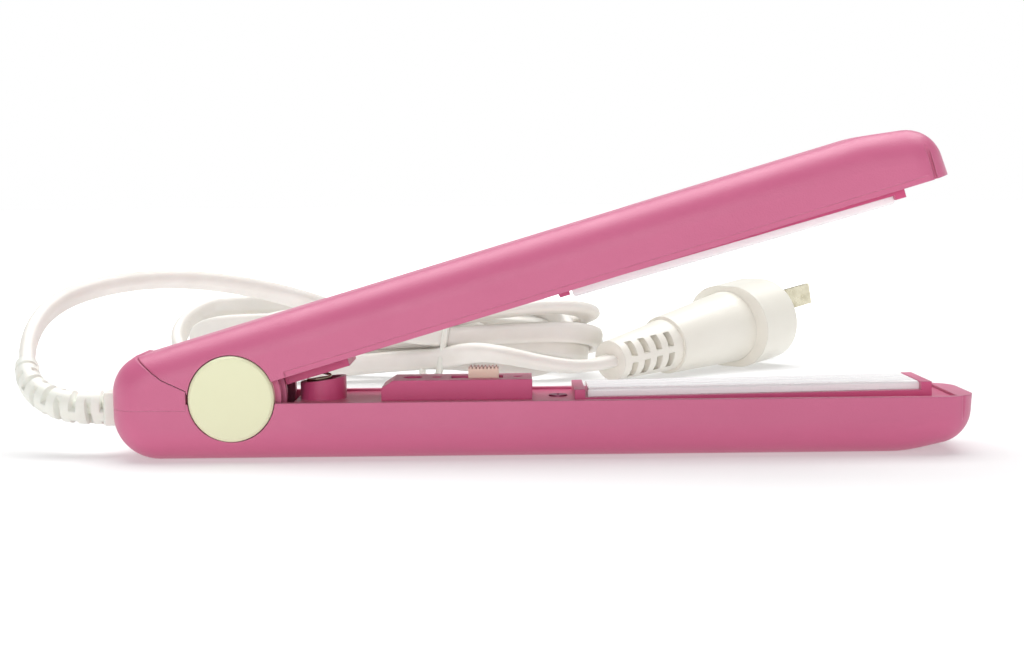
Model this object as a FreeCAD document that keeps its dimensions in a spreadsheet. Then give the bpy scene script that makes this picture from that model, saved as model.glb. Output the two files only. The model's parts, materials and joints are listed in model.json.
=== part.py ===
import FreeCAD, Part
import math
import os
import re
import Sketcher

# Mini hair straightener, in millimetres.
# +X runs from the cord end to the tip, +Y to the far side, +Z up.
# The origin is on the resting surface, under the middle of the lower arm.
# Each arm is drawn about the hinge axis. "Depth" is the distance from the
# hinge level into an arm: downward in the lower arm, upward in the upper one.

SIZES = {
    # hinge axis and how far the arms stand open
    "pivot_x": -63.2,
    "pivot_z": 13.1,
    "open_angle": 14.9,
    "wedge_angle": 0.74,
    # arm shells
    "arm_width": 26.0,
    "arm_depth": 13.1,
    "upper_depth": 13.6,
    "edge_depth": 1.0,
    "rim_step": 0.3,
    "rim_step_height": 1.2,
    "tip_reach": 153.1,
    "rear_reach": 25.5,
    "tip_slope_run": 14.0,
    "lower_tip_rise": 3.0,
    "upper_tip_rise": 2.2,
    "side_round": 7.0,
    "tip_round": 7.6,
    "rear_round": 9.5,
    "cover_round": 8.0,
    "slope_round": 30.0,
    "wall": 1.8,
    "corner_room": 2.4,
    "floor_wall": 2.0,
    "tip_groove": 0.8,
    "groove_back": 3.2,
    "groove_in": 1.7,
    "middle_step": 4.5,
    "floor_step": 7.5,
    "rib_width": 2.0,
    "rib_in": 4.0,
    "flange_room": 2.6,
    # rear cover and the seam the upper arm's tail rests on
    "cover_seam_depth": 2.3,
    "cover_front": 9.3,
    "seam_low": 1.6,
    "seam_mid_x": 14.2,
    "seam_mid_z": 3.9,
    "seam_top_x": 20.6,
    "seam_top_z": 8.5,
    "cover_shoulder": 5.2,
    "seam_gap": 0.15,
    # hinge
    "cap_radius": 8.8,
    "cap_gap": 0.2,
    "cap_proud": 0.4,
    "cap_bevel": 0.5,
    "lower_lug_radius": 10.0,
    "lug_width": 2.2,
    "upper_lug_radius": 10.8,
    "lug_clearance": 0.3,
    "pin_radius": 1.5,
    "pin_running_gap": 0.06,
    # inner covers
    "deck_depth": 1.5,
    "deck_thick": 1.4,
    "deck_start": 12.0,
    "island_half": 9.0,
    "island_depth": 1.6,
    "window_in": 2.0,
    "bar_length": 2.2,
    "bar_drop": 0.15,
    "upper_bar_drop": 0.9,
    # heating plates and what is behind them
    "plate_start": 73.2,
    "plate_length": 68.8,
    "plate_half": 7.4,
    "plate_thick": 1.8,
    "plate_back_off": 0.05,
    "plate_round": 0.7,
    "heater_length": 36.0,
    "heater_half": 5.0,
    "heater_thick": 2.4,
    "pad_thick": 1.0,
    # opening spring, its cup and the collar over it
    "cup_x": 17.55,
    "cup_radius": 4.85,
    "cup_wall": 1.0,
    "cup_top": 2.7,
    "collar_length": 13.7,
    "collar_proud": 1.9,
    "seat_depth": 4.4,
    "spring_radius": 2.4,
    "spring_wire": 0.3,
    "spring_turns": 6.0,
    # switch
    "switch_start": 30.2,
    "switch_end": 61.7,
    "switch_half": 6.0,
    "switch_top": 2.7,
    "switch_chamfer": 2.5,
    "switch_roof": 1.2,
    "slot_start": 44.6,
    "slot_end": 55.6,
    "slot_half": 2.4,
    "knob_start": 48.3,
    "knob_length": 6.4,
    "knob_top": 5.0,
    "knob_half": 2.2,
    "skirt_half": 3.4,
    "knob_rib": 0.4,
    "lamp_x": 36.5,
    "lamp_radius": 1.9,
    "lamp_sink": 0.5,
    "switch_screw_one": 41.6,
    "switch_screw_two": 58.7,
    "cover_screw_x": 67.2,
    "cover_screw_radius": 1.5,
    "boss_radius": 3.0,
    "shank_radius": 1.1,
    "shank_reach": 8.0,
    "head_radius": 1.9,
    "head_seat": 0.8,
    "switch_pin": 0.7,
    "switch_head": 0.95,
    # leads and fuse inside the lower arm
    "lead_offset": 4.2,
    "lead_depth": 7.6,
    "lead_radius": 0.7,
    "fuse_depth": 6.2,
    "fuse_radius": 1.2,
    # strain relief at the rear
    "seat_gap": 0.05,
    "collar_block": 2.75,
    "collar_height": 7.2,
    "boot_lift": 3.0,
    "boot_run": 4.3,
    "boot_bend": 16.0,
    "boot_sweep": 80.0,
    "boot_lean": 55.0,
    "boot_core": 2.75,
    "boot_ring_radius": 3.9,
    "boot_ring_taper": 0.12,
    "boot_ring_length": 1.9,
    "relief_neck": 2.9,
    "relief_flange": 4.0,
    # cord, hank and plug
    "cord_diameter": 4.4,
    "lead_run_out": 20.0,
    "tail_run_in": 11.0,
    "hank_start": -107.0,
    "hank_end": 21.0,
    "hank_near": 124.0,
    "hank_far": 160.0,
    "hank_height": 24.0,
    "hank_end_round": 12.0,
    "hank_top_round": 3.0,
    "tie_x": -26.0,
    "tie_width": 2.0,
    "plug_x": 22.5,
    "plug_y": 124.0,
    "plug_z": 6.2,
    "plug_yaw": 45.0,
    "plug_pitch": 6.64,
    "boot_length": 24.0,
    "boot_start_radius": 5.8,
    "boot_end_radius": 7.7,
    "body_length": 31.0,
    "body_end_radius": 11.0,
    "body_start_radius": 8.6,
    "flange_radius": 12.6,
    "flange_shift": 2.8,
    "flange_length": 15.0,
    "slot_first": 2.8,
    "slot_pitch": 5.0,
    "slot_length": 2.4,
    "prong_length": 18.0,
    "prong_width": 6.35,
    "prong_thick": 1.6,
    "prong_angle": 30.0,
    "prong_offset": 9.0,
    "prong_roll": -35.0,
}

# Places that follow the sizes above.
FOLLOWERS = {
    "deck_end": "(tip_reach - wall - corner_room - 0.2)",
    "island_start": "(plate_start - 2.8)",
    "island_end": "(plate_start + plate_length + 2.2)",
    "heater_start": "(plate_start + (plate_length - heater_length) / 2)",
    "collar_start": "(cup_x + 0.2 - collar_length / 2)",
    "collar_end": "(cup_x + 0.2 + collar_length / 2)",
    "collar_half": "(cup_radius + 2.35)",
    "collar_bore": "(cup_radius + 1.05)",
    "cap_pocket": "(cap_radius + cap_gap)",
    "spring_x": "(cup_x - 0.85)",
    "deck_half": "(arm_width / 2 - wall - 0.1)",
    "lower_lug_inner": "(arm_width / 2 - wall - 0.4 - lug_width)",
    "upper_lug_inner": "(lower_lug_inner - lug_width - 0.2)",
}

UPPER_TILT = "(open_angle + 2 * wedge_angle)"
HALF_WIDTH = "arm_width / 2"

doc = FreeCAD.newDocument("hair_straightener")
sheet = doc.addObject("Spreadsheet::Sheet", "Sizes")
for row, (name, number) in enumerate(SIZES.items(), start=1):
    sheet.set(f"A{row}", name)
    sheet.set(f"B{row}", str(number))
    sheet.setAlias(f"B{row}", name)
doc.recompute()


def tied(text):
    """Point every size named in an expression at the sheet."""
    def swap(match):
        word = match.group()
        if word in FOLLOWERS:
            return tied(FOLLOWERS[word])
        return "Sizes." + word if word in SIZES else word
    return re.sub(r"[a-z_][a-z0-9_]*", swap, text)


def bind(item, prop, text):
    item.setExpression(prop, tied(text))


def value(text):
    """The number an expression stands for."""
    probe = doc.addObject("App::FeaturePython", "Probe")
    probe.addProperty("App::PropertyFloat", "Number")
    bind(probe, "Number", text)
    probe.recompute()
    number = probe.Number
    doc.removeObject(probe.Name)
    return number


# ---------------------------------------------------------------- shapes

def turn_about_hinge(item, angle, start_x, start_y, start_z):
    """Place a shape whose corner is given about the hinge, leaning by angle."""
    bind(item, "Placement",
         f"placement(vector(({start_x}) * cos({angle}) - ({start_z}) * sin({angle});"
         f" {start_y}; ({start_x}) * sin({angle}) + ({start_z}) * cos({angle}));"
         f" rotation(vector(0; -1; 0); {angle}))")


def box(name, x_span, y_span, z_span, lean=None):
    item = doc.addObject("Part::Box", name)
    for prop, span in zip(("Length", "Width", "Height"), (x_span, y_span, z_span)):
        bind(item, prop, f"({span[1]}) - ({span[0]})")
    if lean is None:
        for axis, span in zip("xyz", (x_span, y_span, z_span)):
            bind(item, f"Placement.Base.{axis}", span[0])
    else:
        turn_about_hinge(item, lean, x_span[0], y_span[0], z_span[0])
    return item


def cross_rod(name, x, z, radius, y_span):
    """A cylinder along Y."""
    item = doc.addObject("Part::Cylinder", name)
    item.Placement.Rotation = FreeCAD.Rotation(FreeCAD.Vector(1, 0, 0), -90)
    bind(item, "Radius", radius)
    bind(item, "Height", f"({y_span[1]}) - ({y_span[0]})")
    for axis, text in zip("xyz", (x, y_span[0], z)):
        bind(item, f"Placement.Base.{axis}", text)
    return item


def post(name, x, y, radius, z_span):
    """A cylinder along Z."""
    item = doc.addObject("Part::Cylinder", name)
    bind(item, "Radius", radius)
    bind(item, "Height", f"({z_span[1]}) - ({z_span[0]})")
    for axis, text in zip("xyz", (x, y, z_span[0])):
        bind(item, f"Placement.Base.{axis}", text)
    return item


def rod(name, x_span, y, z, radius):
    """A cylinder along X."""
    item = doc.addObject("Part::Cylinder", name)
    item.Placement.Rotation = FreeCAD.Rotation(FreeCAD.Vector(0, 1, 0), 90)
    bind(item, "Radius", radius)
    bind(item, "Height", f"({x_span[1]}) - ({x_span[0]})")
    for axis, text in zip("xyz", (x_span[0], y, z)):
        bind(item, f"Placement.Base.{axis}", text)
    return item


def cone(name, x_span, radius_start, radius_end):
    """A tapered round along X, about Y 0, Z 0."""
    item = doc.addObject("Part::Cone", name)
    item.Placement.Rotation = FreeCAD.Rotation(FreeCAD.Vector(0, 1, 0), 90)
    bind(item, "Radius1", radius_start)
    bind(item, "Radius2", radius_end)
    bind(item, "Height", f"({x_span[1]}) - ({x_span[0]})")
    bind(item, "Placement.Base.x", x_span[0])
    return item


def fuse(name, items):
    item = doc.addObject("Part::MultiFuse", name)
    item.Shapes = items
    item.Refine = True
    return item


def cut(name, base, tools):
    item = doc.addObject("Part::Cut", name)
    item.Base = base
    item.Tool = tools[0] if len(tools) == 1 else fuse(name + "_tools", tools)
    item.Refine = True
    return item


def common(name, first, second):
    item = doc.addObject("Part::MultiCommon", name)
    item.Shapes = [first, second]
    item.Refine = True
    return item


def origin_plane(body, role):
    return [part for part in body.Origin.OriginFeatures if part.Role == role][0]


def outline_pad(name, points, width):
    """A body padded both ways along Y from an outline given as X, Z texts."""
    body = doc.addObject("PartDesign::Body", name)
    sketch = body.newObject("Sketcher::SketchObject", name + "_outline")
    sketch.AttachmentSupport = [(origin_plane(body, "XZ_Plane"), "")]
    sketch.MapMode = "FlatFace"
    corners = [FreeCAD.Vector(value(x), value(z), 0) for x, z in points]
    count = len(corners)
    for index in range(count):
        sketch.addGeometry(Part.LineSegment(corners[index], corners[(index + 1) % count]))
    for index in range(count):
        sketch.addConstraint(
            Sketcher.Constraint("Coincident", index, 2, (index + 1) % count, 1))
    for index, (texts, corner) in enumerate(zip(points, corners)):
        for kind, text, number in zip(("DistanceX", "DistanceY"), texts, corner):
            place = sketch.addConstraint(
                Sketcher.Constraint(kind, -1, 1, index, 1, number))
            sketch.setExpression(f"Constraints[{place}]", tied(text))
    pad = body.newObject("PartDesign::Pad", name + "_pad")
    pad.Profile = sketch
    pad.SideType = "Symmetric"
    bind(pad, "Length", width)
    sketch.Visibility = False
    doc.recompute()
    return body


def round_edges(body, radius, wanted):
    """Round the edges of the body's last feature that wanted() picks."""
    tip = body.Tip
    names = [f"Edge{number}" for number, edge in enumerate(tip.Shape.Edges, start=1)
             if wanted(edge)]
    if not names:
        raise ValueError(f"no edge to round on {body.Label}")
    fillet = body.newObject("PartDesign::Fillet", body.Label + "_round")
    fillet.Base = (tip, names)
    bind(fillet, "Radius", radius)
    body.Tip = fillet
    doc.recompute()
    if "Invalid" in fillet.State or not fillet.Shape.isValid():
        raise ValueError(f"round of {radius} failed on {body.Label}")
    return fillet


def corner_line(x, z):
    """Pick the edge along Y that runs through X, Z."""
    def wanted(edge):
        ends = [vertex.Point for vertex in edge.Vertexes]
        return len(ends) == 2 and all(
            abs(end.x - x) < 0.01 and abs(end.z - z) < 0.01 for end in ends)
    return wanted


SUBPARTS = []


def subpart(item, label, angle="0"):
    """Name a finished piece and set it about the hinge, leaning by angle."""
    item.Label = label
    bind(item, "Placement",
         f"placement(vector(pivot_x; 0; pivot_z); rotation(vector(0; -1; 0); {angle}))")
    SUBPARTS.append(item)
    return item


def free_subpart(item, label):
    item.Label = label
    SUBPARTS.append(item)
    return item


# ---------------------------------------------------------------- arms

def tilted(x, z):
    """A point given about the hinge, as the tilted upper arm sees it."""
    return (f"({x}) * cos({UPPER_TILT}) + ({z}) * sin({UPPER_TILT})",
            f"({z}) * cos({UPPER_TILT}) - ({x}) * sin({UPPER_TILT})")


def side_edges(body, open_points):
    """Pick the outline edges on both flat sides, except along the open rim."""
    half = value(HALF_WIDTH)
    rims = [(value(a[0]), value(a[1]), value(b[0]), value(b[1]))
            for a, b in zip(open_points, open_points[1:])]

    def wanted(edge):
        middle = edge.valueAt((edge.FirstParameter + edge.LastParameter) / 2)
        ends = [vertex.Point for vertex in edge.Vertexes]
        if any(abs(abs(point.y) - half) > 0.01 for point in ends + [middle]):
            return False
        if ends[0].y * ends[-1].y < 0:
            return False
        for x0, z0, x1, z1 in rims:
            run = math.hypot(x1 - x0, z1 - z0)
            off = abs((x1 - x0) * (middle.z - z0) - (z1 - z0) * (middle.x - x0)) / run
            along = ((middle.x - x0) * (x1 - x0) + (middle.z - z0) * (z1 - z0)) / run
            if off < 0.01 and -0.01 < along < run + 0.01:
                return False
        return True
    return wanted


def lower_form():
    rim = [("tip_reach", "-edge_depth"),
           ("-cover_front", "-edge_depth"),
           ("-cover_front", "seam_low"),
           ("-seam_mid_x", "seam_mid_z"),
           ("-seam_top_x", "seam_top_z")]
    rest = [("-rear_reach", "cover_shoulder"),
            ("-rear_reach", "-arm_depth"),
            ("tip_reach - tip_slope_run", "-arm_depth"),
            ("tip_reach - 0.6", "-arm_depth + lower_tip_rise")]
    body = outline_pad("lower_form", rim + rest, "arm_width")
    for (x, z), radius in zip(rest, ("cover_round", "rear_round", "slope_round", "tip_round")):
        round_edges(body, radius, corner_line(value(x), value(z)))
    round_edges(body, "side_round", side_edges(body, rim))
    return body


def upper_form():
    gap_x = "seam_gap * 0.5"
    gap_z = "seam_gap * 0.87"
    top = tilted(f"-seam_top_x + {gap_x}", f"seam_top_z + {gap_z}")
    middle = tilted(f"-seam_mid_x + {gap_x}", f"seam_mid_z + {gap_z}")
    low = tilted(f"-cover_front + {gap_x}", f"seam_low + {gap_z}")
    slide = f"(upper_depth - ({middle[1]})) / (({top[1]}) - ({middle[1]}))"
    tail_x = f"({middle[0]}) + (({top[0]}) - ({middle[0]})) * {slide}"
    rim = [(tail_x, "upper_depth"), middle, low, (low[0], "edge_depth"),
           ("tip_reach + 1", "edge_depth")]
    rest = [("tip_reach + 0.5", "upper_depth - upper_tip_rise"),
            ("tip_reach - tip_slope_run", "upper_depth")]
    body = outline_pad("upper_form", rim + rest, "arm_width")
    for (x, z), radius in reversed(list(zip(rest, ("tip_round", "slope_round")))):
        round_edges(body, radius, corner_line(value(x), value(z)))
    round_edges(body, "side_round", side_edges(body, rim))
    return body


def depth_span(side, near, far):
    """Z span for a span of depths: side is -1 for the lower arm, 1 for the upper."""
    if side > 0:
        return (near, far)
    return (f"-({far})", f"-({near})")


def both_sides(name, x, z, radius, near, far):
    """Cylinders along Y on both sides, from near to far off the middle."""
    return [cross_rod(name + "_left", x, z, radius, (f"-({far})", f"-({near})")),
            cross_rod(name + "_right", x, z, radius, (near, far))]


def arm_hollow(name, side, start, depth):
    """The stepped hollow inside an arm shell."""
    steps = [(f"{HALF_WIDTH} - wall", "-1", "side_round - 0.5",
              "wall + corner_room"),
             (f"{HALF_WIDTH} - middle_step", "side_round - 0.6", f"{depth} - 3.2", "wall + 5"),
             (f"{HALF_WIDTH} - floor_step", f"{depth} - 3.3", f"{depth} - floor_wall", "wall + 7")]
    return [box(f"{name}_hollow_{number}",
                (start, f"tip_reach - ({set_back})"),
                (f"-({half})", half),
                depth_span(side, near, far))
            for number, (half, near, far, set_back) in enumerate(steps, start=1)]


def tip_grooves(name, side):
    """The shallow upright line on each side just short of the tip."""
    x_span = ("tip_reach - groove_back", "tip_reach - groove_back + tip_groove")
    half = f"{HALF_WIDTH} - groove_in"
    z_span = depth_span(side, "0", "arm_depth")
    return [box(name + "_groove_left", x_span, (f"-({HALF_WIDTH})", f"-({half})"), z_span),
            box(name + "_groove_right", x_span, (half, HALF_WIDTH), z_span)]


def heater_ribs(name, side, depth):
    """Cross ribs on the shell floor that hold the heater stack up."""
    ribs = []
    for number, offset in enumerate((6, 28), start=1):
        x = f"heater_start + {offset}"
        near = (f"plate_back_off + plate_thick + heater_thick + pad_thick + 0.1"
                f" - ({x}) * tan(wedge_angle)")
        ribs.append(box(f"{name}_rib_{number}", (x, f"{x} + rib_width"),
                        (f"-({HALF_WIDTH} - rib_in)", f"{HALF_WIDTH} - rib_in"),
                        depth_span(side, near, f"{depth} - floor_wall + 0.2")))
    return ribs


def screw_boss(name, side, depth):
    return post(name + "_boss", "cover_screw_x", "0", "boss_radius",
                depth_span(side, "deck_depth + deck_thick", f"{depth} - floor_wall + 0.2"))


def screw_bore(name, side):
    return post(name + "_boss_bore", "cover_screw_x", "0", "shank_radius",
                depth_span(side, "deck_depth + deck_thick - 1", "shank_reach + 0.1"))


def rim_steps(name):
    """The shallow step along both long edges of the upper arm's rim."""
    x_span = ("deck_start", "tip_reach + 1")
    z_span = ("edge_depth - 0.1", "edge_depth + rim_step_height")
    return [box(name + "_rim_left", x_span,
                (f"-({HALF_WIDTH}) - 1", f"-({HALF_WIDTH}) + rim_step"), z_span),
            box(name + "_rim_right", x_span,
                (f"{HALF_WIDTH} - rim_step", f"{HALF_WIDTH} + 1"), z_span)]


LUG_OUTER = "lower_lug_inner + lug_width"
UPPER_LUG_OUTER = "upper_lug_inner + lug_width"

form = lower_form()
rear_zone = box("rear_zone", ("-rear_reach - 5", "-cover_front"), ("-20", "20"),
                ("-cover_seam_depth", "20"))
cord_way = box("cord_way", ("-rear_reach - 2", "-rear_reach + wall + 0.6"),
               ("-relief_neck - 0.1", "relief_neck + 0.1"),
               ("-boot_lift - relief_neck - 0.1", "-boot_lift + relief_neck + 0.1"))
cap_pockets = both_sides("cap_pocket", "0", "0", "cap_pocket", LUG_OUTER,
                         f"{HALF_WIDTH} + 1")
hollow_shell = cut("lower_shell", form,
                   arm_hollow("lower", -1, "-rear_reach + wall + corner_room", "arm_depth")
                   + [box("flange_room", ("-rear_reach + wall", "-rear_reach + wall + flange_room"),
                          ("-relief_flange - 2", "relief_flange + 2"),
                          ("-boot_lift - relief_flange - 0.5", "-1"))])
with_lugs = fuse("lower_with_lugs",
                 [hollow_shell]
                 + both_sides("lower_lug", "0", "0", "lower_lug_radius",
                              "lower_lug_inner", LUG_OUTER)
                 + heater_ribs("lower", -1, "arm_depth")
                 + [screw_boss("lower", -1, "arm_depth")])
subpart(cut("lower_housing", with_lugs,
            [rear_zone, cord_way, screw_bore("lower", -1)]
            + cap_pockets
            + both_sides("upper_lug_way", "0", "0", "upper_lug_radius + lug_clearance",
                         "upper_lug_inner - 0.1", f"{UPPER_LUG_OUTER} + 0.1")
            + [cross_rod("lower_pin_bore", "0", "0", "pin_radius", ("-20", "20"))]
            + tip_grooves("lower", -1)),
        "lower_housing")

rear_block = common("rear_block", form, rear_zone)
subpart(cut("rear_cover", rear_block,
            [box("rear_hollow", ("-rear_reach + wall + corner_room", "0"),
                 (f"-({HALF_WIDTH} - wall)", f"{HALF_WIDTH} - wall"),
                 ("-cover_seam_depth - 1", "-0.6")),
             box("rear_attic", ("-rear_reach + 2.8", "-seam_mid_x - 1.6"), ("-8", "8"),
                 ("-1", "seam_mid_z - 1.5")),
             cross_rod("rear_lug_way", "0", "0", "upper_lug_radius + lug_clearance",
                       (f"-({HALF_WIDTH} - 2)", f"{HALF_WIDTH} - 2")),
             box("rear_flange_room", ("-rear_reach + wall", "-rear_reach + wall + flange_room"),
                 ("-relief_flange - 2", "relief_flange + 2"),
                 ("-cover_seam_depth - 1", "-0.6")),
             cord_way]
            + both_sides("rear_pocket", "0", "0", "cap_pocket", f"{LUG_OUTER} + 0.1",
                         f"{HALF_WIDTH} + 1")),
        "rear_cover")

top_form = upper_form()
top_shell = cut("upper_shell", top_form,
                arm_hollow("upper", 1, "-7.5", "upper_depth"))
top_with_lugs = fuse("upper_with_lugs",
                     [top_shell]
                     + both_sides("upper_lug", "0", "0", "upper_lug_radius",
                                  "upper_lug_inner", UPPER_LUG_OUTER)
                     + heater_ribs("upper", 1, "upper_depth")
                     + [screw_boss("upper", 1, "upper_depth")])
subpart(cut("upper_housing", top_with_lugs,
            [screw_bore("upper", 1)]
            + both_sides("upper_cap_way", "0", "0", "cap_pocket", f"{LUG_OUTER} - 0.1",
                         f"{HALF_WIDTH} + 1")
            + both_sides("lower_lug_way", "0", "0", "lower_lug_radius + lug_clearance",
                         "lower_lug_inner - 0.1", f"{LUG_OUTER} + 0.15")
            + [cross_rod("upper_pin_bore", "0", "0", "pin_radius + pin_running_gap",
                         ("-20", "20"))]
            + tip_grooves("upper", 1)
            + rim_steps("upper")),
        "upper_housing", UPPER_TILT)


# ---------------------------------------------------------------- inner covers

PLATE_BACK = "plate_back_off + plate_thick"


def inner_cover(name, side, lean, drop):
    """The deck, its raised island for the heating plate and the two end bars."""
    pieces = [box(name + "_deck", ("deck_start", "deck_end"), ("-deck_half", "deck_half"),
                  depth_span(side, "deck_depth", "deck_depth + deck_thick")),
              box(name + "_island", ("island_start", "island_end"),
                  ("-island_half", "island_half"),
                  depth_span(side, PLATE_BACK, "deck_depth + deck_thick + island_depth"), lean)]
    for number, start in enumerate(("island_start", "island_end - bar_length"), start=1):
        pieces.append(box(f"{name}_bar_{number}", (start, f"{start} + bar_length"),
                          ("-island_half", "island_half"),
                          depth_span(side, drop, f"{PLATE_BACK} + 0.5"), lean))
    window = box(name + "_window",
                 ("plate_start + window_in", "plate_start + plate_length - window_in"),
                 ("-(plate_half - 1.2)", "plate_half - 1.2"),
                 depth_span(side, "-1", "deck_depth + deck_thick + 4"), lean)
    screw_way = post(name + "_screw_way", "cover_screw_x", "0", "cover_screw_radius + 0.1",
                     depth_span(side, "0", "deck_depth + deck_thick + 1"))
    head_way = post(name + "_head_way", "cover_screw_x", "0", "head_radius + 0.2",
                    depth_span(side, "0", "deck_depth + head_seat"))
    return pieces, [window, screw_way, head_way]


cup_floor = "-(deck_depth + deck_thick)"
pieces, holes = inner_cover("lower_cover", -1, "wedge_angle", "bar_drop")
cup_trim = box("cup_trim", ("-12", "12"), ("-8", "8"), ("0", "10"))
for axis in "xyz":
    cup_trim.setExpression(f"Placement.Base.{axis}", None)
bind(cup_trim, "Placement",
     "placement(vector(cup_x - 12 * cos(open_angle / 2); -8;"
     " cup_top - 12 * sin(open_angle / 2)); rotation(vector(0; -1; 0); open_angle / 2))")
cup = cut("cup_wall_solid",
          post("cup_outside", "cup_x", "0", "cup_radius", (cup_floor, "cup_top + 2")),
          [cup_trim])
cup_bore = post("cup_bore", "cup_x", "0", "cup_radius - cup_wall",
                ("-deck_depth - 0.6", "cup_top + 3"))
switch_pins = [post(f"switch_pin_way_{number}", x, "0", "switch_pin + 0.05",
                    ("-deck_depth - 1.2", "0"))
               for number, x in enumerate(("switch_screw_one", "switch_screw_two"), start=1)]
subpart(cut("lower_inner_cover", fuse("lower_cover_solid", pieces + [cup]),
            holes + [cup_bore] + switch_pins),
        "lower_inner_cover")

pieces, holes = inner_cover("upper_cover", 1, "-wedge_angle", "upper_bar_drop")
collar = box("spring_collar", ("collar_start", "collar_end"),
             ("-collar_half", "collar_half"), ("edge_depth - collar_proud", "seat_depth + 1.2"))
collar_bore = post("collar_bore_way", "cup_x", "0", "collar_bore", ("-2", "seat_depth"))
switch_window = box("switch_window", ("switch_start - 1.4", "switch_end + 1.4"),
                    ("-(switch_half + 0.8)", "switch_half + 0.8"),
                    ("0", "deck_depth + deck_thick + 1"))
subpart(cut("upper_inner_cover", fuse("upper_cover_solid", pieces + [collar]),
            holes + [collar_bore, switch_window]),
        "upper_inner_cover", UPPER_TILT)


# ---------------------------------------------------------------- heating parts

def about_hinge(item, label, angle, x, y, z):
    """Seat a boxed piece, drawn at X, Y, Z about the hinge, at its leaning place."""
    item.Label = label
    bind(item, "Placement",
         f"placement(vector(pivot_x + ({x}) * cos({angle}) - ({z}) * sin({angle}); {y};"
         f" pivot_z + ({x}) * sin({angle}) + ({z}) * cos({angle}));"
         f" rotation(vector(0; -1; 0); {angle}))")
    SUBPARTS.append(item)


def leaning_box(label, x_span, y_span, z_span, angle):
    item = box(label + "_block", x_span, y_span, z_span)
    for axis in "xyz":
        item.setExpression(f"Placement.Base.{axis}", None)
    about_hinge(item, label, angle, x_span[0], y_span[0], z_span[0])


for arm, side, angle in (("lower", -1, "wedge_angle"),
                         ("upper", 1, "(open_angle + wedge_angle)")):
    face_z = f"{side} * plate_back_off"
    back_z = f"{side} * ({PLATE_BACK})"
    plate = outline_pad(arm + "_plate_body",
                        [("plate_start", face_z),
                         ("plate_start + plate_length", face_z),
                         ("plate_start + plate_length", back_z),
                         ("plate_start", back_z)],
                        "2 * plate_half")
    level = value(face_z)
    round_edges(plate, "plate_round",
                lambda edge, level=level: all(
                    abs(vertex.Point.z - level) < 0.001 for vertex in edge.Vertexes))
    subpart(plate, arm + "_heating_plate", angle)
    x_span = ("heater_start", "heater_start + heater_length")
    y_span = ("-heater_half", "heater_half")
    layers = (("heater", PLATE_BACK, f"{PLATE_BACK} + heater_thick"),
              ("heater_pad", f"{PLATE_BACK} + heater_thick",
               f"{PLATE_BACK} + heater_thick + pad_thick"))
    for label, near, far in layers:
        leaning_box(f"{arm}_{label}", x_span, y_span, depth_span(side, near, far), angle)

for arm, side, angle in (("lower", -1, "0"), ("upper", 1, UPPER_TILT)):
    shank = post(arm + "_screw_shank", "cover_screw_x", "0", "shank_radius",
                 depth_span(side, "deck_depth + 0.4", "shank_reach"))
    head = post(arm + "_screw_head", "cover_screw_x", "0", "head_radius",
                depth_span(side, "deck_depth - 0.3", "deck_depth + head_seat"))
    slots = [box(f"{arm}_screw_slot_{number}",
                 (f"cover_screw_x - {half_x}", f"cover_screw_x + {half_x}"),
                 (f"-{half_y}", half_y), depth_span(side, "0", "deck_depth + 0.3"))
             for number, (half_x, half_y) in enumerate((("1.1", "0.22"), ("0.22", "1.1")))]
    subpart(cut(arm + "_cover_screw_solid", fuse(arm + "_screw_blank", [shank, head]), slots),
            arm + "_cover_screw", angle)


# ---------------------------------------------------------------- hinge

def cap(label, sign):
    """Cream disc over one end of the hinge, with a bevelled rim."""
    item = doc.addObject("Part::Cylinder", label + "_disc")
    rim = doc.addObject("Part::Cone", label + "_rim")
    turn = FreeCAD.Rotation(FreeCAD.Vector(1, 0, 0), -90 * sign)
    for piece in (item, rim):
        piece.Placement.Rotation = turn
    bind(item, "Radius", "cap_radius")
    bind(item, "Height", f"{HALF_WIDTH} + cap_proud - cap_bevel - ({LUG_OUTER})")
    bind(item, "Placement.Base.y", f"{sign} * ({LUG_OUTER})")
    bind(rim, "Radius1", "cap_radius")
    bind(rim, "Radius2", "cap_radius - cap_bevel")
    bind(rim, "Height", "cap_bevel")
    bind(rim, "Placement.Base.y", f"{sign} * ({HALF_WIDTH} + cap_proud - cap_bevel)")
    subpart(fuse(label + "_solid", [item, rim]), label)


cap("hinge_cap_near", -1)
cap("hinge_cap_far", 1)
about_pin = cross_rod("hinge_pin_rod", "pivot_x", "pivot_z", "pin_radius",
                      (f"-({LUG_OUTER})", LUG_OUTER))
free_subpart(about_pin, "hinge_pin")

spring_low = "-deck_depth - 0.6 + spring_wire"
spring_high = ("seat_depth / cos(open_angle + 2 * wedge_angle)"
               " + (spring_x - spring_radius - spring_wire)"
               " * tan(open_angle + 2 * wedge_angle) - spring_wire - 0.1")
helix = doc.addObject("Part::Helix", "spring_path")
bind(helix, "Radius", "spring_radius")
bind(helix, "Height", f"({spring_high}) - ({spring_low})")
bind(helix, "Pitch", f"(({spring_high}) - ({spring_low})) / spring_turns")
ring = doc.addObject("Part::Circle", "spring_section")
ring.Placement.Rotation = FreeCAD.Rotation(FreeCAD.Vector(1, 0, 0), 90)
bind(ring, "Radius", "spring_wire")
bind(ring, "Placement.Base.x", "spring_radius")
coil = doc.addObject("Part::Sweep", "spring_coil")
doc.recompute()
coil.Sections = [ring]
coil.Spine = (helix, [f"Edge{number + 1}" for number in range(len(helix.Shape.Edges))])
coil.Solid = True
coil.Frenet = True
coil.Label = "opening_spring"
bind(coil, "Placement",
     f"placement(vector(pivot_x + spring_x; 0; pivot_z + {spring_low});"
     " rotation(vector(0; 0; 1); 0))")
SUBPARTS.append(coil)


# ---------------------------------------------------------------- switch

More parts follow.
